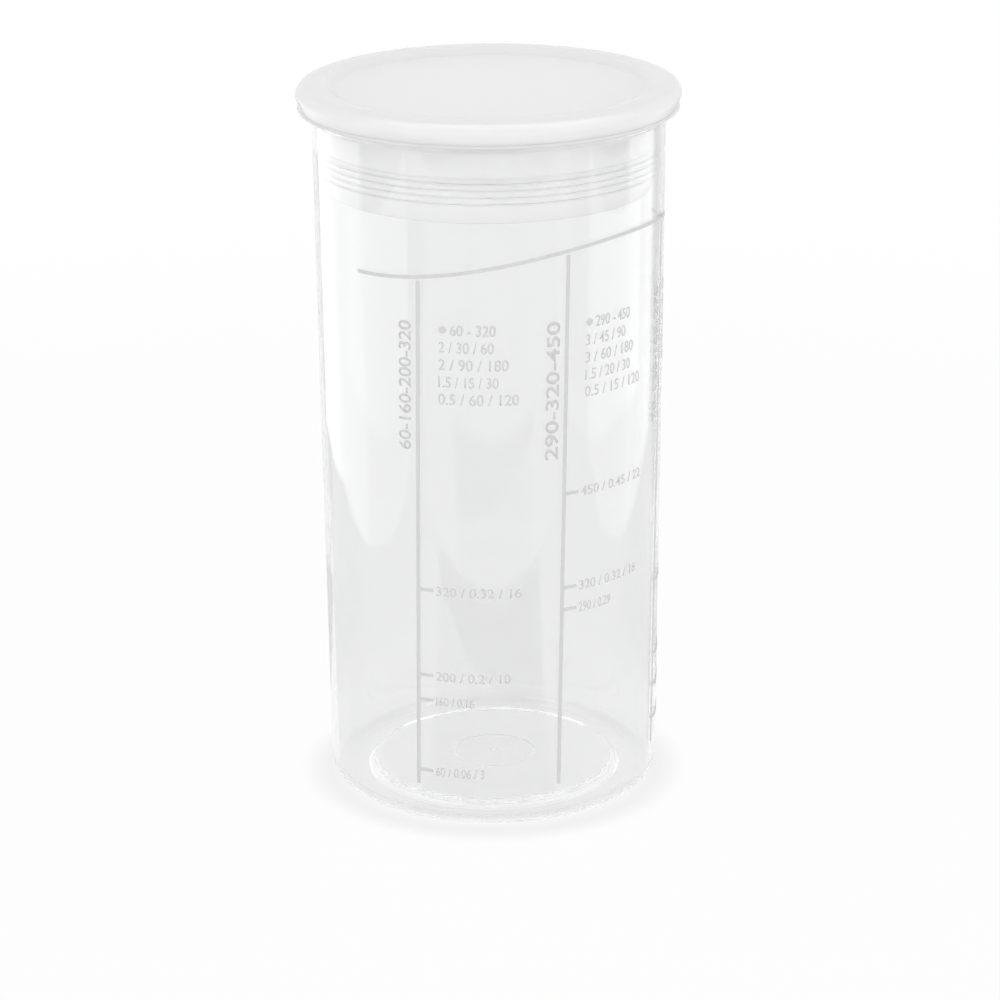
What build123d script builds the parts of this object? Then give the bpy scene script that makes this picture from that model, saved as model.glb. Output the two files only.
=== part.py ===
from build123d import *
import math
import os

# A dressing shaker: a clear moulded beaker with a raised floor and a flared collar, closed by a
# milky press-in lid whose hollow plug carries a stack of sealing lips. Three fill scales and the
# sweeping line above them are printed on the wall. Millimetres, +Z up, the ground at z = 0,
# the beaker's axis on Z and the printed front towards -Y.

# Beaker, driving sizes
WALL = 1.6
MOUTH_RADIUS = 44.12
FOOT_INSET = 1.57
COLLAR_STEP = 1.98
COLLAR_HEIGHT = 6.5
BEAKER_HEIGHT = 182.1
HEEL_ROUNDING = 4.5
INNER_HEEL_CUT = 1.9
FLARE_ANGLE = 45

# Beaker floor, driving sizes
FLOOR_THICKNESS = 1.8
FLOOR_RISE = 1.45
FLOOR_CROWN = 1.15
FLOOR_STEP_INSET = 11.95
FLOOR_STEP_RUN = 2.1
FLOOR_STEP_SHIFT = 0.3
GATE_DISC_RADIUS = 10.6
GATE_DISC_DEPTH = 0.45
GATE_PIP_RADIUS = 1.1
GATE_PIP_HEIGHT = 0.35

# Lid, driving sizes
SKIRT_CLEARANCE = 0.4
SKIRT_THICKNESS = 1.5
SKIRT_DEPTH = 4.3
CREST_RISE = 1.9
CREST_INSET = 5.0
SHOULDER_DROP = 0.75
SHOULDER_CUT = 0.6
PANEL_RIM_INSET = 7.3
PANEL_RIM_DROP = 0.35
PANEL_INSET = 9.8
PANEL_DEPTH = 1.6
PANEL_THICKNESS = 1.6

# Lid plug and its sealing lips, driving sizes
PLUG_CLEARANCE = 1.52
PLUG_DRAFT = 0.5
PLUG_THICKNESS = 1.4
PLUG_DEPTH = 24.3
LAND_CLEARANCE = 0.62
LAND_DEPTH = 12.6
LAND_CHAMFER = 0.5
LIP_COUNT = 4
LIP_PITCH = 1.66
FIRST_LIP_DEPTH = 14.3
LIP_ROOT_THICKNESS = 0.95
LIP_SWEEP = 0.25
LIP_CLEARANCE = 0.06

# Printed scales, driving sizes
INK_THICKNESS = 0.12
INK_GAP = 0.02
GAUGE_LINE_WIDTH = 1.0
GAUGE_FOOT_HEIGHT = 10.9
SWEEP_WIDTH = 0.9
SWEEP_START_DROP = 38.6
SWEEP_RISE = 8.7
TICK_LENGTH = 3.5
TICK_WIDTH = 0.85

# Angles in degrees round the axis, counted from the front towards +X
SWEEP_START_ANGLE = -47.3
SWEEP_CREST_ANGLE = 54.0
SWEEP_END_ANGLE = 100.0
SWEEP_SECTIONS = 11
GAUGE_LEAN = 3.1
GAUGE_ANGLES = {"left": -23.5, "middle": 25.6, "right": 76.5}

# Heights of the ticks above the ground, as shares of the beaker's height
TICK_HEIGHT_SHARES = {
    "left": (0.351, 0.225, 0.188, 0.082),
    "middle": (0.487, 0.351, 0.319),
    "right": (0.303, 0.192, 0.144, 0.094),
}

# Sizes that follow from the driving sizes
FOOT_RADIUS = MOUTH_RADIUS - FOOT_INSET
COLLAR_RADIUS = MOUTH_RADIUS + COLLAR_STEP
COLLAR_START_HEIGHT = BEAKER_HEIGHT - COLLAR_HEIGHT
LID_RADIUS = COLLAR_RADIUS + SKIRT_CLEARANCE + SKIRT_THICKNESS
PLUG_RADIUS = MOUTH_RADIUS - WALL - PLUG_CLEARANCE


def wall_radius(height):
    """Outer radius of the tapered wall at a height above the ground."""
    return FOOT_RADIUS + FOOT_INSET * height / COLLAR_START_HEIGHT


def upright(radius, height):
    """Point of a half section, at a distance from the axis and a height above the ground."""
    return Vector(radius, 0, height)


def run(start, end):
    """Straight edge of an outline: a two-point curve where it is a steep taper, or else a line."""
    steep = abs(end.Z - start.Z) > abs(end.X - start.X) > 0
    return Bezier(start, end) if steep else Line(start, end)


def runs(points):
    """Straight edges from each point of an outline to the next."""
    return [run(start, end) for start, end in zip(points, points[1:])]


def cut_corner(before, corner, after, size):
    """Two points that take a corner off flat, each the size away from it along its own run."""
    return [corner + (end - corner).normalized() * size for end in (before, after)]


def turned(*edges):
    """Solid of revolution about the vertical axis from the closed chain of edges in X and Z."""
    return revolve(make_face(Wire(edges)), Axis.Z)


def make_beaker():
    """Tapered beaker with a rounded heel, a raised floor with its gate recess and a flared collar."""
    flare = COLLAR_STEP / math.tan(math.radians(FLARE_ANGLE))
    mitre = WALL * math.tan(math.radians(FLARE_ANGLE / 2))
    step_radius = FOOT_RADIUS - FLOOR_STEP_INSET
    crown = FLOOR_RISE + FLOOR_CROWN
    recess = crown + GATE_DISC_DEPTH
    under_centre = upright(0, recess - GATE_PIP_HEIGHT)
    under_step = upright(step_radius + FLOOR_STEP_SHIFT, FLOOR_RISE)
    foot_ring = under_step + upright(FLOOR_STEP_RUN, -FLOOR_RISE)
    wall_top = upright(MOUTH_RADIUS, COLLAR_START_HEIGHT)
    inner_wall_top = upright(MOUTH_RADIUS - WALL, COLLAR_START_HEIGHT + mitre)
    inner_heel = upright(wall_radius(0) - WALL, FLOOR_THICKNESS)
    top_step = upright(step_radius, FLOOR_RISE + FLOOR_THICKNESS)
    floor_ring = top_step + upright(FLOOR_STEP_RUN, -FLOOR_RISE)
    heel_chain = FilletPolyline(foot_ring, upright(FOOT_RADIUS, 0), wall_top, radius=HEEL_ROUNDING)
    heel = heel_chain.edges().filter_by(GeomType.CIRCLE)[0]
    heel_foot, heel_top = [vertex.center() for vertex in heel.vertices().sort_by(Axis.Z)]
    underside = [
        under_centre,
        upright(GATE_PIP_RADIUS, recess - GATE_PIP_HEIGHT),
        upright(GATE_PIP_RADIUS, recess),
        upright(GATE_DISC_RADIUS, recess),
        upright(GATE_DISC_RADIUS, crown),
        under_step,
        foot_ring,
        heel_foot,
    ]
    sides_and_inside = [
        heel_top,
        wall_top,
        upright(COLLAR_RADIUS, COLLAR_START_HEIGHT + flare),
        upright(COLLAR_RADIUS, BEAKER_HEIGHT),
        upright(COLLAR_RADIUS - WALL, BEAKER_HEIGHT),
        upright(COLLAR_RADIUS - WALL, COLLAR_START_HEIGHT + flare + mitre),
        inner_wall_top,
        *cut_corner(inner_wall_top, inner_heel, floor_ring, INNER_HEEL_CUT),
        floor_ring,
        top_step,
        upright(GATE_DISC_RADIUS, crown + FLOOR_THICKNESS),
        upright(0, crown + FLOOR_THICKNESS),
        under_centre,
    ]
    return turned(*runs(underside), heel, *runs(sides_and_inside))


def lip_reach():
    """Radius of the lips' tips, a running clearance inside the wall at the lowest lip."""
    lowest = BEAKER_HEIGHT - FIRST_LIP_DEPTH - LIP_PITCH * (LIP_COUNT - 1)
    return wall_radius(lowest) - WALL - LIP_CLEARANCE


def plug_radius(height):
    """Outer radius of the plug below its land, which narrows towards its foot."""
    top = BEAKER_HEIGHT - LAND_DEPTH - LAND_CHAMFER
    foot = BEAKER_HEIGHT - PLUG_DEPTH
    return PLUG_RADIUS - PLUG_DRAFT * (top - height) / (top - foot)


def lip_outline():
    """Outline of the stack of sealing lips from the lowest up: each a thin fin that sweeps up."""
    points = []
    for count in reversed(range(LIP_COUNT)):
        height = BEAKER_HEIGHT - FIRST_LIP_DEPTH - LIP_PITCH * count
        bottom = height - LIP_ROOT_THICKNESS / 2
        top = height + LIP_ROOT_THICKNESS / 2
        points.append(upright(plug_radius(bottom), bottom))
        points.append(upright(lip_reach(), height + LIP_SWEEP))
        points.append(upright(plug_radius(top), top))
    return points


def make_lid():
    """Press-in lid: dished panel, crowned rim, short skirt over the collar and a hollow plug."""
    crest_height = BEAKER_HEIGHT + CREST_RISE
    skirt_inner = LID_RADIUS - SKIRT_THICKNESS
    skirt_foot = BEAKER_HEIGHT - SKIRT_DEPTH
    panel_top = crest_height - PANEL_DEPTH
    plug_foot = BEAKER_HEIGHT - PLUG_DEPTH
    plug_inner = PLUG_RADIUS - PLUG_THICKNESS
    land_radius = MOUTH_RADIUS - WALL - LAND_CLEARANCE
    land_foot = BEAKER_HEIGHT - LAND_DEPTH
    under_centre = upright(0, panel_top - PANEL_THICKNESS)
    skirt_edge = upright(LID_RADIUS, skirt_foot)
    shoulder = upright(LID_RADIUS, crest_height - SHOULDER_DROP)
    crest = upright(LID_RADIUS - CREST_INSET, crest_height)
    return turned(*runs([
        under_centre,
        upright(plug_inner, panel_top - PANEL_THICKNESS),
        upright(plug_inner - PLUG_DRAFT, plug_foot),
        upright(PLUG_RADIUS - PLUG_DRAFT, plug_foot),
        *lip_outline(),
        upright(PLUG_RADIUS, land_foot - LAND_CHAMFER),
        upright(land_radius, land_foot),
        upright(land_radius, BEAKER_HEIGHT),
        upright(skirt_inner, BEAKER_HEIGHT),
        upright(skirt_inner, skirt_foot),
        skirt_edge,
        *cut_corner(skirt_edge, shoulder, crest, SHOULDER_CUT),
        crest,
        upright(LID_RADIUS - PANEL_RIM_INSET, crest_height - PANEL_RIM_DROP),
        upright(LID_RADIUS - PANEL_INSET, panel_top),
        upright(0, panel_top),
        under_centre,
    ]))


def ink_shell():
    """Thin skin that follows the wall's taper, where all ink of the scales lies."""
    inner = INK_GAP
    outer = INK_GAP + INK_THICKNESS
    section = Polyline(
        upright(FOOT_RADIUS + inner, 0),
        upright(FOOT_RADIUS + outer, 0),
        upright(MOUTH_RADIUS + outer, COLLAR_START_HEIGHT),
        upright(MOUTH_RADIUS + inner, COLLAR_START_HEIGHT),
        close=True,
    )
    return turned(*section.edges())


def sweep_height(angle):
    """Height of the sweeping line's middle: level at its start, a long rise, a crest, a slow fall."""
    share = (angle - SWEEP_START_ANGLE) / (SWEEP_CREST_ANGLE - SWEEP_START_ANGLE)
    eased = (1 - math.cos(math.pi * share)) / 2
    return BEAKER_HEIGHT - SWEEP_START_DROP + SWEEP_RISE * eased


def sweep_section(angle):
    """Upright rectangle as high as the sweeping line is wide, set across the wall at an angle."""
    height = sweep_height(angle)
    radians = math.radians(angle)
    outward = Vector(math.sin(radians), -math.cos(radians), 0)
    along = Vector(math.cos(radians), math.sin(radians), 0)
    middle = outward * wall_radius(height) + Vector(0, 0, height)
    return Plane(origin=middle, x_dir=outward, z_dir=along) * Rectangle(2 * WALL, SWEEP_WIDTH)


def make_sweep_line():
    """Sweeping line above the scales: a band lofted round the wall, cut from the ink's skin."""
    span = SWEEP_END_ANGLE - SWEEP_START_ANGLE
    angles = [SWEEP_START_ANGLE + span * index / (SWEEP_SECTIONS - 1) for index in range(SWEEP_SECTIONS)]
    return ink_shell() & loft([sweep_section(angle) for angle in angles])


def make_scale(side):
    """One fill scale: a nearly upright line down from the sweeping line, with short level ticks."""
    angle = GAUGE_ANGLES[side]
    top = sweep_height(angle) - SWEEP_WIDTH
    length = top - GAUGE_FOOT_HEIGHT
    reach = FOOT_INSET + WALL
    drift = FOOT_RADIUS * math.radians(GAUGE_LEAN)
    lean = math.degrees(math.atan(drift / length))
    marks = Pos(0, -FOOT_RADIUS, top) * Rot(0, lean, 0) * Box(
        GAUGE_LINE_WIDTH, 2 * reach, length, align=(Align.CENTER, Align.CENTER, Align.MAX)
    )
    for share in TICK_HEIGHT_SHARES[side]:
        height = BEAKER_HEIGHT * share
        shift = -drift * (top - height) / length
        marks += Pos(shift, -FOOT_RADIUS, height) * Box(
            TICK_LENGTH + GAUGE_LINE_WIDTH / 2, 2 * reach, TICK_WIDTH,
            align=(Align.MIN, Align.CENTER, Align.CENTER),
        )
    return ink_shell() & (Rot(0, 0, angle) * marks)


def make_parts():
    """Every sub-part of the shaker by its name."""
    parts = {"beaker": make_beaker(), "lid": make_lid(), "print_sweep_line": make_sweep_line()}
    for side in GAUGE_ANGLES:
        parts["print_scale_" + side] = make_scale(side)
    return parts


os.makedirs("parts", exist_ok=True)
for name, shape in make_parts().items():
    export_step(shape, "parts/" + name + ".step")
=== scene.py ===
import bmesh
import bpy
import math
from mathutils import Matrix, Vector


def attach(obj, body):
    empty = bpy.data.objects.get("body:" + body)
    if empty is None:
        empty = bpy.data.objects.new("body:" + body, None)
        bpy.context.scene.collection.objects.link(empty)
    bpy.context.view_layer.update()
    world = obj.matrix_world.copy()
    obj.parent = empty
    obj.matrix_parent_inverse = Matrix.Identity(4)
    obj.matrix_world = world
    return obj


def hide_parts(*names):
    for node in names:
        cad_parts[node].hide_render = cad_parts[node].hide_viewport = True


# A clear shaker beaker with printed fill scales and a milky press-in lid, on a white table.
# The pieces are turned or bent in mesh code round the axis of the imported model, in metres. The
# object's sizes are in millimetres here and go through mm(); the stage and the camera's place are
# in metres.

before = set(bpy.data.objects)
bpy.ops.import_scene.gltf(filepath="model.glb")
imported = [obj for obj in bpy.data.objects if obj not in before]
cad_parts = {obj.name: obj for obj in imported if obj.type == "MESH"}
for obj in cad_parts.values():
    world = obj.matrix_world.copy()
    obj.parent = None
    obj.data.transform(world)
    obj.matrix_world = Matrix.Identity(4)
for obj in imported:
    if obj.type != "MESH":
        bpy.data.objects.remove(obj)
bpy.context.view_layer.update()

# Beaker sizes, as in the CAD source, with the roundings that the solid leaves out
WALL = 1.6
MOUTH_RADIUS = 44.12
FOOT_RADIUS = 42.55
COLLAR_RADIUS = 46.1
COLLAR_START = 175.6
BEAKER_HEIGHT = 182.1
HEEL_ROUNDING = 4.5
FLARE_ANGLE = 45
FLARE_ROUNDING = 0.8
RIM_ROUNDING = 0.5
FLOOR_THICKNESS = 1.8
FLOOR_RISE = 1.45
FLOOR_CROWN = 1.15
CROWN_SHARE_MIDWAY = 0.36
CROWN_SHARE_AT_GATE = 0.08
STEP_RADIUS = 30.6
STEP_RUN = 2.1
STEP_SHIFT = 0.3
STEP_ROUNDING = 1.0
GATE_RADIUS = 10.6
GATE_DEPTH = 0.45
PIP_RADIUS = 1.1
PIP_HEIGHT = 0.35
FINE_ROUNDING = 0.12

# Lid sizes, as in the CAD source, with the roundings that the solid leaves out; the fill makes the
# grooves between the lips shallower than they are in the solid
LID_RADIUS = 48.0
CREST_HEIGHT = 184.0
CREST_RADIUS = 43.0
CREST_ROUNDING = 9.0
SHOULDER_HEIGHT = 183.25
SHOULDER_ROUNDING = 2.6
SKIRT_INNER = 46.5
SKIRT_FOOT = 177.8
SKIRT_ROUNDING = 0.45
RIM_EDGE_RADIUS = 40.7
RIM_EDGE_HEIGHT = 183.65
PANEL_RADIUS = 38.2
PANEL_TOP = 182.4
PANEL_UNDER = 180.8
PANEL_ROUNDING = 0.35
PLUG_RADIUS = 41.0
PLUG_INNER = 39.6
PLUG_DRAFT = 0.5
PLUG_FOOT = 157.8
PLUG_ROUNDING = 0.45
LAND_RADIUS = 41.9
LAND_FOOT = 169.5
LAND_CHAMFER = 0.5
LIP_COUNT = 4
FIRST_LIP_HEIGHT = 167.8
LIP_PITCH = 1.66
LIP_ROOT = 0.95
LIP_TIP = 0.3
LIP_SWEEP = 0.25
LIP_REACH = 42.33
LIP_FILL = 1.05

# Printed scales: heading in degrees from the front and top height of each scale's line, the height
# of its foot, and how far it drifts sideways on its way down
SCALE_LINES = {"left": (-23.5, 143.7), "middle": (25.6, 149.7), "right": (76.5, 150.3)}
SCALE_FOOT = 10.9
SCALE_DRIFT = 2.3

# Ink of the figures, and the width of the strips in which it is bent round the wall
INK_GAP = 0.03
INK_THICKNESS = 0.07
BEND_STEP = 0.6

# Titles along the lines: words, foot height and length
TITLE_GAP = 2.0
TITLE_HEIGHT = 3.3
TITLES = {
    "left": ("60-160-200-320", 100.3, 33.0),
    "middle": ("290-320-450", 98.0, 35.3),
    "right": ("70-120-165-270", 99.5, 35.0),
}

# Rows of figures beside the lines, from the top down: words and length; the first one has a dot
ROW_OFFSET = 5.4
ROW_HEIGHT = 2.75
ROW_FOOT = 112.9
ROW_PITCH = 4.4
DOT_RADIUS = 0.95
DOT_INDENT = 2.85
ROWS = {
    "left": (("60 - 320", 11.2), ("2 / 30 / 60", 13.6), ("2 / 90 / 180", 17.3),
             ("1.5 / 15 / 30", 14.8), ("0.5 / 60 / 120", 19.9)),
    "middle": (("290 - 450", 11.9), ("3 / 45 / 90", 13.1), ("3 / 60 / 180", 16.3),
               ("1.5 / 20 / 30", 15.2), ("0.5 / 15 / 120", 19.5)),
    "right": (("70 - 270", 8.0), ("2 / 15", 6.6), ("2 / 45", 6.6), ("1.5 / 60", 8.2), ("0.5 / 30", 8.4)),
}

# Labels at the ticks: words, height and length
LABEL_OFFSET = 4.8
LABEL_HEIGHT = 2.4
LABELS = {
    "left": (("320 / 0.32 / 16", 63.9, 21.5), ("200 / 0.2 / 10", 41.0, 19.0), ("160 / 0.16", 34.2, 9.8),
             ("60 / 0.06 / 3", 14.9, 12.5)),
    "middle": (("450 / 0.45 / 22", 88.7, 21.5), ("320 / 0.32 / 16", 63.9, 20.0), ("290 / 0.29", 58.1, 10.0)),
    "right": (("270 / 0.27", 55.2, 9.6), ("165 / 0.16", 35.0, 9.6), ("120 / 0.12", 26.2, 9.6),
              ("70 / 0.07", 17.1, 9.0)),
}

# How much each kind of figure is thickened, as a share of its size
TITLE_WEIGHT = 0.014
FIRST_ROW_WEIGHT = 0.013
ROW_WEIGHT = 0.004

# White table and sky: the table is plain white far out and keeps the soft shadow near the object,
# with a painted contact shadow, a thin darker ring where the object meets it
FLOOR_SIZE = 12.0
FLOOR_DROP = 0.0003
TABLE_WHITE = 0.95
TABLE_GLOW_NEAR = 0.92
TABLE_GLOW_FAR = 1.0
TABLE_NEAR = 0.25
TABLE_FAR = 0.7
CONTACT_SHADOW_REACH = 0.043
CONTACT_SHADOW_WIDTH = 0.009
CONTACT_SHADOW_TONE = 0.9
SKY_HORIZON = 1.1
SKY_ZENITH = 0.56

# Dark cards on the table, seen in reflections only: painted shade that the clear wall reflects in place
# of the shaded table round the object. Heading and half width in degrees, inner and outer radius, tone;
# their edges are soft
CARD_DROP = 0.0001
CARD_SOFT_ANGLE = 3.0
CARD_SOFT_REACH = 0.02
SHADE_CARDS = {
    "front": (-2, 31, 0.052, 0.24, 0.0),
    "far": (8, 98, 0.40, 1.4, 0.3),
    "back": (180, 45, 0.06, 1.4, 0.7),
}

# Walls of a low light tent, seen in reflections only: strength, then places of the foot and heights
PANELS = {
    "left_far": (1.7, ((-0.2, 0.246, 0.17), (-0.247, 0.103, 0.17), (-0.232, 0.026, 0.17),
                       (-0.222, -0.02, 0.17))),
    "left_near": (1.4, ((-0.222, -0.02, 0.106), (-0.219, -0.087, 0.106), (-0.226, -0.138, 0.106),
                        (-0.257, -0.202, 0.106))),
    "front": (1.12, ((-0.25, -0.206, 0.114), (-0.11, -0.206, 0.114), (-0.075, -0.206, 0.12),
                    (0.0, -0.206, 0.121), (0.045, -0.206, 0.114), (0.25, -0.206, 0.113))),
    "right_near": (1.4, ((0.3, -0.145, 0.102), (0.233, -0.066, 0.102), (0.228, 0.0, 0.104),
                         (0.23, 0.02, 0.106))),
    "right_far": (1.55, ((0.23, 0.02, 0.17), (0.251, 0.125, 0.17), (0.254, 0.196, 0.17))),
}

# Sheet of light overhead, seen in reflections only: half sizes, place and strength
OVERHEAD_HALF = (0.4, 0.24)
OVERHEAD_PLACE = (0.0, -0.11, 0.6)
OVERHEAD_STRENGTH = 3.5

# Soft lamps over the lid: direction from the lid, distance, width, height, strength, seen in gloss
LAMPS = {
    "left": ((-0.60, -0.35, 0.72), 0.95, 0.7, 0.14, 2.0, True),
    "right": ((0.78, -0.09, 0.62), 0.95, 0.7, 0.14, 2.0, True),
    "front": ((0.05, -0.95, 0.22), 0.95, 0.5, 0.5, 1.5, False),
}

# Camera, fitted to the photograph's outlines
CAMERA_PLACE = (0.0, -0.87205, 0.37638)
CAMERA_PITCH = 19.152
CAMERA_YAW = 0.139
CAMERA_ROLL = -0.421
CAMERA_LENS = 128.58
CAMERA_SENSOR = 36.0

# Both plastics bend light alike
PLASTIC_IOR = 1.5

# Clear plastic: tint and frost of the wall and of the step round the floor, the shares of the step's
# run over which they change, and how many times light turns back inside it before it is let out.
# The step is left untinted, a painted highlight that makes it read as a bright ring.
WALL_TINT = 0.92
STEP_HIGHLIGHT_TINT = 1.0
WALL_FROST = 0.03
STEP_FROST = 0.15
STEP_SOFT_SHARES = (0.4, 0.8)
GUIDED_REFLECTIONS = 3
CLEAR_TRANSMISSION = 0.98
CLEAR_DEPTH_COLOUR = (0.82, 0.87, 0.93, 1)
CLEAR_DEPTH_DENSITY = 8

# Milky plastic: tint of the thick lid, and a lighter tint of its underside and thin plug, which more
# light shines through: painted light that stands in for that light and lifts the shade under the skirt,
# with the millimetres over which one goes into the other
LID_TINT = 0.85
PLUG_PAINTED_LIGHT_TINT = 1.0
TINT_BLEND = 0.3
MILKY_ROUGHNESS = 0.26
MILKY_SPREAD = 4.0

# Ink: darkest and palest tone, grains to the metre and their detail
INK_TONES = (0.62, 0.73)
INK_GRAINS = 900
INK_DETAIL = 3
INK_ROUGHNESS = 0.6

# Relief of the plastics: waves to the metre, detail, strength and depth in millimetres
CLEAR_RELIEF = (60, 1, 0.008, 2.0)
MILKY_RELIEF = (2500, 2, 0.05, 0.1)

# Fineness of the meshes: steps in a turn, degrees in a step of a round, and the way from a round to
# the support point beside it; what lies nearer than the small gaps counts as one place
TURN_STEPS = 256
ARC_STEP_DEG = 7.5
SUPPORT = 0.15
DOT_STEPS = 24
CARD_STEPS = 96
LETTER_STEPS = 4
AXIS_GAP = 1e-6
MERGE_GAP = 1e-5


def mm(value):
    """Millimetres to metres."""
    return value * 0.001


def arc_points(before, corner, after, radius):
    """Points of the round that replaces a corner of an outline."""
    back = (before - corner).normalized()
    ahead = (after - corner).normalized()
    opening = back.angle(ahead)
    reach = radius / math.tan(opening / 2)
    middle = corner + (back + ahead).normalized() * (radius / math.sin(opening / 2))
    start = corner + back * reach - middle
    turn = math.pi - opening
    side = 1 if start.x * ahead.y - start.y * ahead.x > 0 else -1
    steps = max(2, math.ceil(math.degrees(turn) / ARC_STEP_DEG))
    return [middle + Matrix.Rotation(side * turn * step / steps, 2) @ start for step in range(steps + 1)]


def outline(rows):
    """Dense outline from rows of radius, height and rounding, with support points beside each round."""
    corners = [Vector(row[:2]) for row in rows]
    points = [corners[0]]
    for index in range(1, len(rows) - 1):
        rounding = rows[index][2]
        if rounding:
            ring = arc_points(corners[index - 1], corners[index], corners[index + 1], rounding)
            before = (corners[index - 1] - ring[0]).normalized() * SUPPORT
            after = (corners[index + 1] - ring[-1]).normalized() * SUPPORT
            points += [ring[0] + before, *ring, ring[-1] + after]
        else:
            points.append(corners[index])
    points.append(corners[-1])
    return points


def circle(radius, height, steps):
    """Points of a level circle about the Z axis."""
    angles = [2 * math.pi * step / steps for step in range(steps)]
    return [(radius * math.cos(angle), radius * math.sin(angle), height) for angle in angles]


def turned(name, points):
    """Mesh turned round the Z axis from an outline that starts and ends on the axis."""
    vertices = []
    rings = []
    for point in points:
        if point.x < AXIS_GAP:
            rings.append([len(vertices)] * TURN_STEPS)
            vertices.append((0, 0, mm(point.y)))
        else:
            rings.append(range(len(vertices), len(vertices) + TURN_STEPS))
            vertices += circle(mm(point.x), mm(point.y), TURN_STEPS)
    faces = []
    for low, high in zip(rings, rings[1:]):
        for step in range(TURN_STEPS):
            following = (step + 1) % TURN_STEPS
            corners = [low[step], low[following], high[following], high[step]]
            faces.append(list(dict.fromkeys(corners)))
    return mesh_piece(name, vertices, [face for face in faces if len(face) > 2])


def mesh_piece(name, vertices, faces):
    """Smooth-shaded object from vertices and faces."""
    mesh = bpy.data.meshes.new(name)
    mesh.from_pydata(vertices, [], faces)
    mesh.validate()
    mesh.shade_smooth()
    piece = bpy.data.objects.new(name, mesh)
    bpy.context.scene.collection.objects.link(piece)
    return piece


def flat_sheet(name, across, along, height):
    """Level rectangle about the Z axis, from its half sizes."""
    places = ((-across, -along), (across, -along), (across, along), (-across, along))
    return mesh_piece(name, [(x, y, height) for x, y in places], [(0, 1, 2, 3)])


def make_beaker():
    """Clear beaker with every edge rounded: floor, heel, wall, flared collar and rim."""
    under = FLOOR_RISE + FLOOR_CROWN
    recess = under + GATE_DEPTH
    midway = (GATE_RADIUS + STEP_RADIUS) / 2
    mitre = WALL * math.tan(math.radians(FLARE_ANGLE / 2))
    flare = COLLAR_RADIUS - MOUTH_RADIUS
    rows = [
        (0, recess - PIP_HEIGHT, 0),
        (PIP_RADIUS, recess - PIP_HEIGHT, FINE_ROUNDING),
        (PIP_RADIUS, recess, FINE_ROUNDING),
        (GATE_RADIUS, recess, FINE_ROUNDING),
        (GATE_RADIUS, under, FINE_ROUNDING),
        (midway, under - FLOOR_CROWN * CROWN_SHARE_MIDWAY, 0),
        (STEP_RADIUS + STEP_SHIFT, FLOOR_RISE, STEP_ROUNDING),
        (STEP_RADIUS + STEP_SHIFT + STEP_RUN, 0, STEP_ROUNDING),
        (FOOT_RADIUS, 0, HEEL_ROUNDING),
        (MOUTH_RADIUS, COLLAR_START, FLARE_ROUNDING),
        (COLLAR_RADIUS, COLLAR_START + flare, FLARE_ROUNDING),
        (COLLAR_RADIUS, BEAKER_HEIGHT, RIM_ROUNDING),
        (COLLAR_RADIUS - WALL, BEAKER_HEIGHT, RIM_ROUNDING),
        (COLLAR_RADIUS - WALL, COLLAR_START + flare + mitre, FLARE_ROUNDING),
        (MOUTH_RADIUS - WALL, COLLAR_START + mitre, FLARE_ROUNDING),
        (FOOT_RADIUS - WALL, FLOOR_THICKNESS, HEEL_ROUNDING - WALL),
        (STEP_RADIUS + STEP_RUN, FLOOR_THICKNESS, STEP_ROUNDING),
        (STEP_RADIUS, FLOOR_RISE + FLOOR_THICKNESS, STEP_ROUNDING),
        (midway, under + FLOOR_THICKNESS - FLOOR_CROWN * CROWN_SHARE_MIDWAY, 0),
        (GATE_RADIUS, under + FLOOR_THICKNESS - FLOOR_CROWN * CROWN_SHARE_AT_GATE, 0),
        (0, under + FLOOR_THICKNESS, 0),
    ]
    return turned("beaker_clear_wall", outline(rows))


def lip_rows():
    """Outline rows of the sealing lips from the lowest up, thin fins with rounded tips."""
    rows = []
    root = PLUG_RADIUS - PLUG_DRAFT / 2 + LIP_FILL
    for count in reversed(range(LIP_COUNT)):
        height = FIRST_LIP_HEIGHT - LIP_PITCH * count
        rows += [
            (root, height - LIP_ROOT / 2, FINE_ROUNDING),
            (LIP_REACH, height + LIP_SWEEP - LIP_TIP / 2, FINE_ROUNDING),
            (LIP_REACH, height + LIP_SWEEP + LIP_TIP / 2, FINE_ROUNDING),
            (root, height + LIP_ROOT / 2, FINE_ROUNDING),
        ]
    return rows


def make_lid():
    """Milky lid with a dished panel, a soft crowned rim, a skirt and the hollow plug with its lips."""
    rows = [
        (0, PANEL_UNDER, 0),
        (PLUG_INNER, PANEL_UNDER, PANEL_ROUNDING),
        (PLUG_INNER - PLUG_DRAFT, PLUG_FOOT, PLUG_ROUNDING),
        (PLUG_RADIUS - PLUG_DRAFT, PLUG_FOOT, PLUG_ROUNDING),
        *lip_rows(),
        (PLUG_RADIUS, LAND_FOOT - LAND_CHAMFER, FINE_ROUNDING),
        (LAND_RADIUS, LAND_FOOT, FINE_ROUNDING),
        (LAND_RADIUS, BEAKER_HEIGHT, SKIRT_ROUNDING),
        (SKIRT_INNER, BEAKER_HEIGHT, SKIRT_ROUNDING),
        (SKIRT_INNER, SKIRT_FOOT, SKIRT_ROUNDING),
        (LID_RADIUS, SKIRT_FOOT, SKIRT_ROUNDING),
        (LID_RADIUS, SHOULDER_HEIGHT, SHOULDER_ROUNDING),
        (CREST_RADIUS, CREST_HEIGHT, CREST_ROUNDING),
        (RIM_EDGE_RADIUS, RIM_EDGE_HEIGHT, PANEL_ROUNDING),
        (PANEL_RADIUS, PANEL_TOP, PANEL_ROUNDING),
        (0, PANEL_TOP, 0),
    ]
    return turned("lid_milky_moulding", outline(rows))


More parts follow.
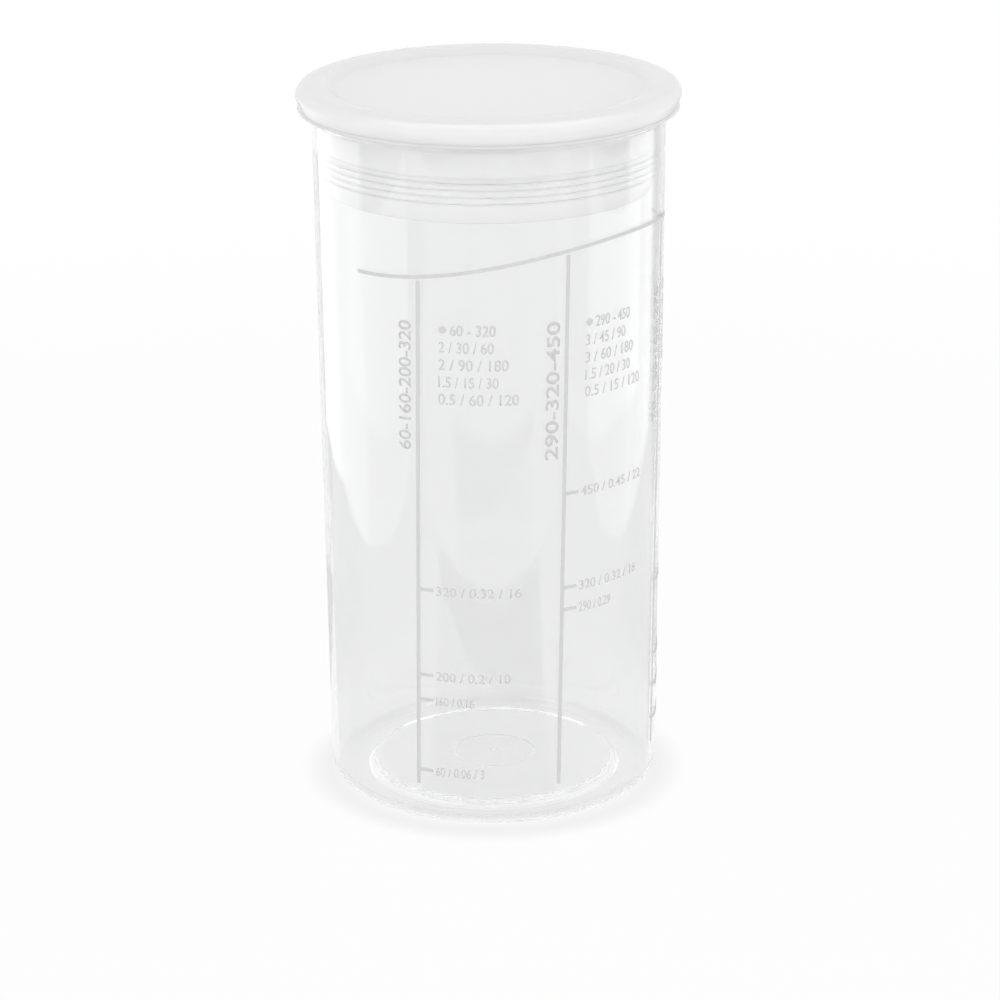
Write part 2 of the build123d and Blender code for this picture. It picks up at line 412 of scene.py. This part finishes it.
def smooth_range(tree, value, low, high, at_low, at_high):
    """Value that goes smoothly from one level to another."""
    tone = tree.nodes.new("ShaderNodeMapRange")
    tone.interpolation_type = "SMOOTHSTEP"
    tone.inputs["From Min"].default_value = low
    tone.inputs["From Max"].default_value = high
    tone.inputs["To Min"].default_value = at_low
    tone.inputs["To Max"].default_value = at_high
    tree.links.new(value, tone.inputs["Value"])
    return tone.outputs["Result"]


def arithmetic(tree, operation, first, second=0.0):
    """One step of arithmetic on a socket and a socket or number."""
    node = tree.nodes.new("ShaderNodeMath")
    node.operation = operation
    tree.links.new(first, node.inputs[0])
    if isinstance(second, (int, float)):
        node.inputs[1].default_value = second
    else:
        tree.links.new(second, node.inputs[1])
    return node.outputs[0]


def mixed(tree, factor, first, second, surface):
    """Mix of two shaders, sent to the surface."""
    mix = tree.nodes.new("ShaderNodeMixShader")
    tree.links.new(factor, mix.inputs["Fac"])
    tree.links.new(first, mix.inputs[1])
    tree.links.new(second, mix.inputs[2])
    tree.links.new(mix.outputs[0], surface)


def new_material(name):
    """New node material, with its tree and its principled shader."""
    material = bpy.data.materials.new(name)
    material.use_nodes = True
    tree = material.node_tree
    shader = tree.nodes["Principled BSDF"]
    return material, tree, shader


def add_relief(tree, shader, relief):
    """Fine relief from noise in object space."""
    scale, detail, strength, depth = relief
    place = tree.nodes.new("ShaderNodeTexCoord")
    noise = tree.nodes.new("ShaderNodeTexNoise")
    bump = tree.nodes.new("ShaderNodeBump")
    noise.inputs["Scale"].default_value = scale
    noise.inputs["Detail"].default_value = detail
    bump.inputs["Strength"].default_value = strength
    bump.inputs["Distance"].default_value = mm(depth)
    tree.links.new(place.outputs["Object"], noise.inputs["Vector"])
    tree.links.new(noise.outputs["Fac"], bump.inputs["Height"])
    tree.links.new(bump.outputs["Normal"], shader.inputs["Normal"])


def place_and_reach(tree):
    """Place on a piece, and its distance from the piece's Z axis."""
    place = tree.nodes.new("ShaderNodeTexCoord")
    flat = tree.nodes.new("ShaderNodeVectorMath")
    reach = tree.nodes.new("ShaderNodeVectorMath")
    flat.operation = "MULTIPLY"
    flat.inputs[1].default_value = (1, 1, 0)
    reach.operation = "LENGTH"
    tree.links.new(place.outputs["Object"], flat.inputs[0])
    tree.links.new(flat.outputs["Vector"], reach.inputs[0])
    return place.outputs["Object"], reach.outputs["Value"]


def on_step(tree, inside, outside):
    """One level on the sloping step round the floor, another on the rest of the beaker."""
    _, reach = place_and_reach(tree)
    middle = mm(STEP_RADIUS + STEP_RUN / 2)
    gap = arithmetic(tree, "ABSOLUTE", arithmetic(tree, "SUBTRACT", reach, middle))
    start, end = (mm(STEP_RUN * share) for share in STEP_SOFT_SHARES)
    return smooth_range(tree, gap, start, end, inside, outside)


def clear_plastic():
    """Clear glossy moulded plastic. On the step round the floor it is frosted and left untinted: the lighter
    colour there is a painted highlight, which adds to the real glint of the step's edges. The wall guides
    light for metres, which a render cuts off as black, so light that has turned back inside it a few times
    is let out."""
    material, tree, shader = new_material("clear_moulded_plastic")
    shader.inputs["IOR"].default_value = PLASTIC_IOR
    shader.inputs["Transmission Weight"].default_value = CLEAR_TRANSMISSION
    # The step's lighter, untinted colour is a painted highlight for its bright ring.
    tree.links.new(on_step(tree, STEP_HIGHLIGHT_TINT, WALL_TINT), shader.inputs["Base Color"])
    tree.links.new(on_step(tree, STEP_FROST, WALL_FROST), shader.inputs["Roughness"])
    add_relief(tree, shader, CLEAR_RELIEF)
    absorption = tree.nodes.new("ShaderNodeVolumeAbsorption")
    absorption.inputs["Color"].default_value = CLEAR_DEPTH_COLOUR
    absorption.inputs["Density"].default_value = CLEAR_DEPTH_DENSITY
    tree.links.new(absorption.outputs["Volume"], tree.nodes["Material Output"].inputs["Volume"])
    path = tree.nodes.new("ShaderNodeLightPath")
    clear = tree.nodes.new("ShaderNodeBsdfTransparent")
    guided = arithmetic(tree, "GREATER_THAN", path.outputs["Glossy Depth"], GUIDED_REFLECTIONS - 0.5)
    mixed(tree, guided, shader.outputs[0], clear.outputs[0], tree.nodes["Material Output"].inputs["Surface"])
    return material


def milky_plastic():
    """Soft milky-white plastic: light spreads inside it, with a satin sheen and a fine grain."""
    material, tree, shader = new_material("milky_soft_plastic")
    place, reach = place_and_reach(tree)
    parts = tree.nodes.new("ShaderNodeSeparateXYZ")
    tree.links.new(place, parts.inputs[0])
    # Painted light: the underside and the thin plug get the lighter tint, standing in for light that shines
    # through them into the shade under the skirt.
    above = smooth_range(
        tree, parts.outputs["Z"], mm(BEAKER_HEIGHT), mm(BEAKER_HEIGHT + TINT_BLEND), PLUG_PAINTED_LIGHT_TINT, LID_TINT)
    beyond = smooth_range(
        tree, reach, mm(SKIRT_INNER), mm(SKIRT_INNER + TINT_BLEND), PLUG_PAINTED_LIGHT_TINT, LID_TINT)
    tree.links.new(arithmetic(tree, "MINIMUM", above, beyond), shader.inputs["Base Color"])
    shader.inputs["Roughness"].default_value = MILKY_ROUGHNESS
    shader.inputs["IOR"].default_value = PLASTIC_IOR
    shader.inputs["Subsurface Weight"].default_value = 1.0
    shader.inputs["Subsurface Radius"].default_value = (1.0, 1.0, 1.0)
    shader.inputs["Subsurface Scale"].default_value = mm(MILKY_SPREAD)
    add_relief(tree, shader, MILKY_RELIEF)
    return material


def scale_ink():
    """Flat pale grey screen ink with slight changes in its cover."""
    material, tree, shader = new_material("pale_grey_ink")
    place = tree.nodes.new("ShaderNodeTexCoord")
    noise = tree.nodes.new("ShaderNodeTexNoise")
    ramp = tree.nodes.new("ShaderNodeValToRGB")
    noise.inputs["Scale"].default_value = INK_GRAINS
    noise.inputs["Detail"].default_value = INK_DETAIL
    for element, tone in zip(ramp.color_ramp.elements, INK_TONES):
        element.color = (tone, tone, tone, 1)
    shader.inputs["Roughness"].default_value = INK_ROUGHNESS
    tree.links.new(place.outputs["Object"], noise.inputs["Vector"])
    tree.links.new(noise.outputs["Fac"], ramp.inputs["Fac"])
    tree.links.new(ramp.outputs["Color"], shader.inputs["Base Color"])
    return material


def paint(piece, material):
    """Gives a piece its one material."""
    piece.data.materials.clear()
    piece.data.materials.append(material)


def build_beaker():
    """The clear wall in place of the CAD beaker."""
    beaker = make_beaker()
    beaker.visible_shadow = False
    beaker.visible_diffuse = False
    paint(beaker, clear_plastic())
    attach(beaker, "beaker")
    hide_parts("beaker")


def build_lid():
    """The milky moulding in place of the CAD lid."""
    lid = make_lid()
    paint(lid, milky_plastic())
    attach(lid, "lid")
    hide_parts("lid")


def flat_words(words, height, weight):
    """Flat mesh of a row of figures, its left foot at the origin, in millimetres."""
    curve = bpy.data.curves.new("figures", "FONT")
    curve.body = words
    curve.offset = weight
    curve.resolution_u = LETTER_STEPS
    writer = bpy.data.objects.new("figures", curve)
    bpy.context.scene.collection.objects.link(writer)
    depsgraph = bpy.context.evaluated_depsgraph_get()
    mesh = bpy.data.meshes.new_from_object(writer.evaluated_get(depsgraph))
    bpy.data.objects.remove(writer)
    bpy.data.curves.remove(curve)
    left = min(vertex.co.x for vertex in mesh.vertices)
    top = max(vertex.co.y for vertex in mesh.vertices)
    mesh.transform(Matrix.Scale(height / top, 4) @ Matrix.Translation((-left, 0, 0)))
    return mesh


def stretched(mesh, length):
    """Fits a row of figures to a length, by its width alone."""
    right = max(vertex.co.x for vertex in mesh.vertices)
    mesh.transform(Matrix.Diagonal((length / right, 1, 1, 1)))
    return mesh


def flat_dot(radius):
    """Flat round dot about the origin."""
    mesh = bpy.data.meshes.new("dot")
    mesh.from_pydata(circle(radius, 0, DOT_STEPS), [], [tuple(range(DOT_STEPS))])
    return mesh


def placed(mesh, across, up, turn=0):
    """Moves a flat mesh to its place on the unrolled wall."""
    mesh.transform(Matrix.Translation((across, up, 0)) @ Matrix.Rotation(math.radians(turn), 4, "Z"))
    return mesh


def lean(side, height):
    """Sideways place of a scale's line at a height, in millimetres from its top end."""
    top = SCALE_LINES[side][1]
    return -SCALE_DRIFT * (top - height) / (top - SCALE_FOOT)


def scale_words(side):
    """All figures of one scale on the unrolled wall, measured from the scale's line."""
    words, foot, length = TITLES[side]
    title = stretched(flat_words(words, TITLE_HEIGHT, TITLE_WEIGHT), length)
    meshes = [placed(title, -TITLE_GAP, foot, 90)]
    for index, (words, length) in enumerate(ROWS[side]):
        height = ROW_FOOT + ROW_PITCH * (len(ROWS[side]) - 1 - index)
        weight = ROW_WEIGHT
        indent = 0
        if index == 0:
            weight = FIRST_ROW_WEIGHT
            indent = DOT_INDENT
            meshes.append(placed(flat_dot(DOT_RADIUS), ROW_OFFSET + DOT_RADIUS, height + ROW_HEIGHT / 2))
        row = stretched(flat_words(words, ROW_HEIGHT, weight), length)
        meshes.append(placed(row, ROW_OFFSET + indent, height))
    for words, height, length in LABELS[side]:
        label = stretched(flat_words(words, LABEL_HEIGHT, ROW_WEIGHT), length)
        meshes.append(placed(label, LABEL_OFFSET, height - LABEL_HEIGHT / 2))
    return meshes


def divide(ink):
    """Cuts flat figures into upright strips, narrow enough to bend smoothly."""
    low = min(vertex.co.x for vertex in ink.verts)
    high = max(vertex.co.x for vertex in ink.verts)
    for step in range(1, math.ceil((high - low) / BEND_STEP)):
        bmesh.ops.bisect_plane(
            ink, geom=ink.verts[:] + ink.edges[:] + ink.faces[:],
            plane_co=(low + step * BEND_STEP, 0, 0), plane_no=(1, 0, 0),
        )
    bmesh.ops.dissolve_degenerate(ink, dist=MERGE_GAP, edges=ink.edges[:])


def thicken(ink):
    """Gives flat figures the ink's thickness."""
    raised = bmesh.ops.extrude_face_region(ink, geom=ink.faces[:])
    outer = [item for item in raised["geom"] if isinstance(item, bmesh.types.BMVert)]
    for vertex in outer:
        vertex.co.z = INK_THICKNESS


def bend(side, ink):
    """Bends figures from the unrolled wall onto the tapered one, beside the scale's line."""
    angle = math.radians(SCALE_LINES[side][0])
    taper = (MOUTH_RADIUS - FOOT_RADIUS) / COLLAR_START
    for vertex in ink.verts:
        across, height, depth = vertex.co
        radius = FOOT_RADIUS + taper * height + INK_GAP + depth
        heading = angle + (across + lean(side, height)) / radius
        vertex.co = (mm(radius * math.sin(heading)), mm(-radius * math.cos(heading)), mm(height))


def put_in_order(ink):
    """Sorts the faces by place, so that each run gives the same mesh."""
    by_place = sorted(ink.faces, key=lambda face: tuple(face.calc_center_median()))
    for index, face in enumerate(by_place):
        face.index = index
    ink.faces.sort()


def wrap(side, meshes):
    """Piece of thin ink on the wall, from the flat meshes of one scale's figures."""
    ink = bmesh.new()
    for mesh in meshes:
        ink.from_mesh(mesh)
        bpy.data.meshes.remove(mesh)
    divide(ink)
    thicken(ink)
    bend(side, ink)
    bmesh.ops.recalc_face_normals(ink, faces=ink.faces[:])
    put_in_order(ink)
    mesh = bpy.data.meshes.new("print_figures_" + side)
    ink.to_mesh(mesh)
    ink.free()
    piece = bpy.data.objects.new("print_figures_" + side, mesh)
    bpy.context.scene.collection.objects.link(piece)
    return piece


def build_print():
    """The printed lines keep their CAD shape and get the ink; the figures are thin ink on the wall."""
    ink = scale_ink()
    for name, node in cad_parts.items():
        if name.startswith("print_"):
            paint(node, ink)
    for side in SCALE_LINES:
        figures = wrap(side, scale_words(side))
        paint(figures, ink)
        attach(figures, "beaker")


def seen_white(tree):
    """Value that is one for camera, glossy and transmission rays, which show the white backdrop."""
    path = tree.nodes.new("ShaderNodeLightPath")
    seen = arithmetic(tree, "MAXIMUM", path.outputs["Is Camera Ray"], path.outputs["Is Glossy Ray"])
    return arithmetic(tree, "MAXIMUM", seen, path.outputs["Is Transmission Ray"])


def make_world():
    """Soft light from all round, stronger from low down, seen as white."""
    world = bpy.data.worlds.new("studio")
    world.use_nodes = True
    tree = world.node_tree
    light = tree.nodes["Background"]
    light.inputs["Color"].default_value = (1, 1, 1, 1)
    place = tree.nodes.new("ShaderNodeTexCoord")
    parts = tree.nodes.new("ShaderNodeSeparateXYZ")
    tone = tree.nodes.new("ShaderNodeMapRange")
    tone.inputs["To Min"].default_value = SKY_HORIZON
    tone.inputs["To Max"].default_value = SKY_ZENITH
    tree.links.new(place.outputs["Generated"], parts.inputs[0])
    tree.links.new(parts.outputs["Z"], tone.inputs["Value"])
    tree.links.new(tone.outputs["Result"], light.inputs["Strength"])
    white = tree.nodes.new("ShaderNodeBackground")
    white.inputs["Color"].default_value = (1, 1, 1, 1)
    surface = tree.nodes["World Output"].inputs["Surface"]
    mixed(tree, seen_white(tree), light.outputs[0], white.outputs[0], surface)
    bpy.context.scene.world = world


def stage_material(name):
    """Empty node material for the stage, with its output alone."""
    material = bpy.data.materials.new(name)
    material.use_nodes = True
    tree = material.node_tree
    tree.nodes.remove(tree.nodes["Principled BSDF"])
    return material, tree, tree.nodes["Material Output"].inputs["Surface"]


def make_floor():
    """White table that keeps the object's soft shadow. The clear wall lets all light through, so the
    thin shadow where it meets the table is painted shadow, a darker ring in the table's tone."""
    floor = flat_sheet("floor", FLOOR_SIZE / 2, FLOOR_SIZE / 2, -FLOOR_DROP)
    material, tree, surface = stage_material("white_table")
    matte = tree.nodes.new("ShaderNodeBsdfDiffuse")
    glow = tree.nodes.new("ShaderNodeEmission")
    _, reach = place_and_reach(tree)
    # Painted contact shadow: the glow and the matte colour are darker in a thin ring round the foot.
    gap = arithmetic(tree, "ABSOLUTE", arithmetic(tree, "SUBTRACT", reach, CONTACT_SHADOW_REACH))
    tone = smooth_range(tree, gap, 0.0, CONTACT_SHADOW_WIDTH, CONTACT_SHADOW_TONE, 1.0)
    tree.links.new(tone, glow.inputs["Strength"])
    tree.links.new(arithmetic(tree, "MULTIPLY", tone, TABLE_WHITE), matte.inputs["Color"])
    share = smooth_range(tree, reach, TABLE_NEAR, TABLE_FAR, TABLE_GLOW_NEAR, TABLE_GLOW_FAR)
    factor = arithmetic(tree, "MULTIPLY", seen_white(tree), share)
    mixed(tree, factor, matte.outputs[0], glow.outputs[0], surface)
    paint(floor, material)


def seen_in_gloss(piece):
    """A stage piece that shows in reflections alone and lights nothing else."""
    piece.visible_camera = False
    piece.visible_diffuse = False
    piece.visible_shadow = False


def turned_back(tree):
    """One for light that a surface has turned back on its way, nought for light seen straight through."""
    path = tree.nodes.new("ShaderNodeLightPath")
    return arithmetic(tree, "GREATER_THAN", path.outputs["Glossy Depth"], 0.5)


def glow_for_reflections(name, strength):
    """Light that shows in reflections alone; the caller may send its cover a further factor."""
    material, tree, surface = stage_material(name)
    glow = tree.nodes.new("ShaderNodeEmission")
    clear = tree.nodes.new("ShaderNodeBsdfTransparent")
    glow.inputs["Strength"].default_value = strength
    cover = arithmetic(tree, "MULTIPLY", turned_back(tree), 1.0)
    mixed(tree, cover, clear.outputs[0], glow.outputs[0], surface)
    return material, tree, cover.node.inputs[1]


def sector(tree, half_width, inner):
    """One on a sector of the table about its front, beyond a radius, and nought outside its soft edges."""
    place, reach = place_and_reach(tree)
    parts = tree.nodes.new("ShaderNodeSeparateXYZ")
    tree.links.new(place, parts.inputs[0])
    front = arithmetic(tree, "MULTIPLY", parts.outputs["Y"], -1.0)
    turn = arithmetic(tree, "ABSOLUTE", arithmetic(tree, "ARCTAN2", parts.outputs["X"], front))
    edge = math.radians(half_width)
    soft = math.radians(CARD_SOFT_ANGLE)
    beside = smooth_range(tree, turn, edge - soft, edge + soft, 1.0, 0.0)
    beyond = smooth_range(tree, reach, inner - CARD_SOFT_REACH, inner + CARD_SOFT_REACH, 0.0, 1.0)
    return arithmetic(tree, "MULTIPLY", beside, beyond)


def make_shade_cards():
    """Dark sheets on the table that show in reflections alone: painted shade for the clear wall to reflect,
    in place of the shaded table round the object.
    """
    for name, (heading, half_width, inner, outer, tone) in SHADE_CARDS.items():
        rim = circle(outer, -CARD_DROP, CARD_STEPS)
        card = mesh_piece("shade_card_" + name, rim, [tuple(range(CARD_STEPS))])
        card.rotation_euler = (0, 0, math.radians(heading))
        # Painted shade: a dark sheet that shows only in reflections.
        material, tree, cover = glow_for_reflections("shade_card_" + name, tone)
        tree.links.new(sector(tree, half_width, inner), cover)
        paint(card, material)
        seen_in_gloss(card)


def make_panels():
    """Bright low walls that stand round the object and make the pale tongues on the wall."""
    for name, (strength, points) in PANELS.items():
        vertices = []
        for x, y, height in points:
            vertices += [(x, y, 0), (x, y, height)]
        faces = [(2 * step, 2 * step + 2, 2 * step + 3, 2 * step + 1) for step in range(len(points) - 1)]
        panel = mesh_piece("panel_" + name, vertices, faces)
        paint(panel, glow_for_reflections("panel_" + name, strength)[0])
        seen_in_gloss(panel)


def make_overhead():
    """Sheet of light overhead, which edges of the clear floor and of the lid's rim glint with."""
    sheet = flat_sheet("overhead", *OVERHEAD_HALF, 0)
    sheet.location = OVERHEAD_PLACE
    paint(sheet, glow_for_reflections("overhead", OVERHEAD_STRENGTH)[0])
    seen_in_gloss(sheet)


def make_lamps():
    """Large soft lamps round the lid; two of them leave the highlights on its rim."""
    target = Vector((0, 0, mm(CREST_HEIGHT)))
    for name, (direction, distance, width, height, strength, in_gloss) in LAMPS.items():
        light = bpy.data.lights.new("lamp_" + name, "AREA")
        light.shape = "RECTANGLE"
        light.size = width
        light.size_y = height
        light.energy = strength * math.pi * width * height
        lamp = bpy.data.objects.new("lamp_" + name, light)
        bpy.context.scene.collection.objects.link(lamp)
        lamp.location = target + Vector(direction).normalized() * distance
        lamp.rotation_euler = Vector(direction).to_track_quat("Z", "Y").to_euler()
        lamp.visible_camera = False
        lamp.visible_transmission = False
        lamp.visible_glossy = in_gloss


def make_camera():
    """Camera at the photograph's place and angle."""
    data = bpy.data.cameras.new("camera")
    data.lens = CAMERA_LENS
    data.sensor_width = CAMERA_SENSOR
    camera = bpy.data.objects.new("camera", data)
    bpy.context.scene.collection.objects.link(camera)
    yaw = Matrix.Rotation(math.radians(-CAMERA_YAW), 4, "Z")
    pitch = Matrix.Rotation(math.radians(90 - CAMERA_PITCH), 4, "X")
    roll = Matrix.Rotation(math.radians(CAMERA_ROLL), 4, "Z")
    camera.matrix_world = Matrix.Translation(CAMERA_PLACE) @ yaw @ pitch @ roll
    bpy.context.scene.camera = camera


bpy.context.scene.view_settings.view_transform = "Standard"
make_camera()
make_world()
make_floor()
make_shade_cards()
make_panels()
make_overhead()
make_lamps()
build_beaker()
build_lid()
build_print()
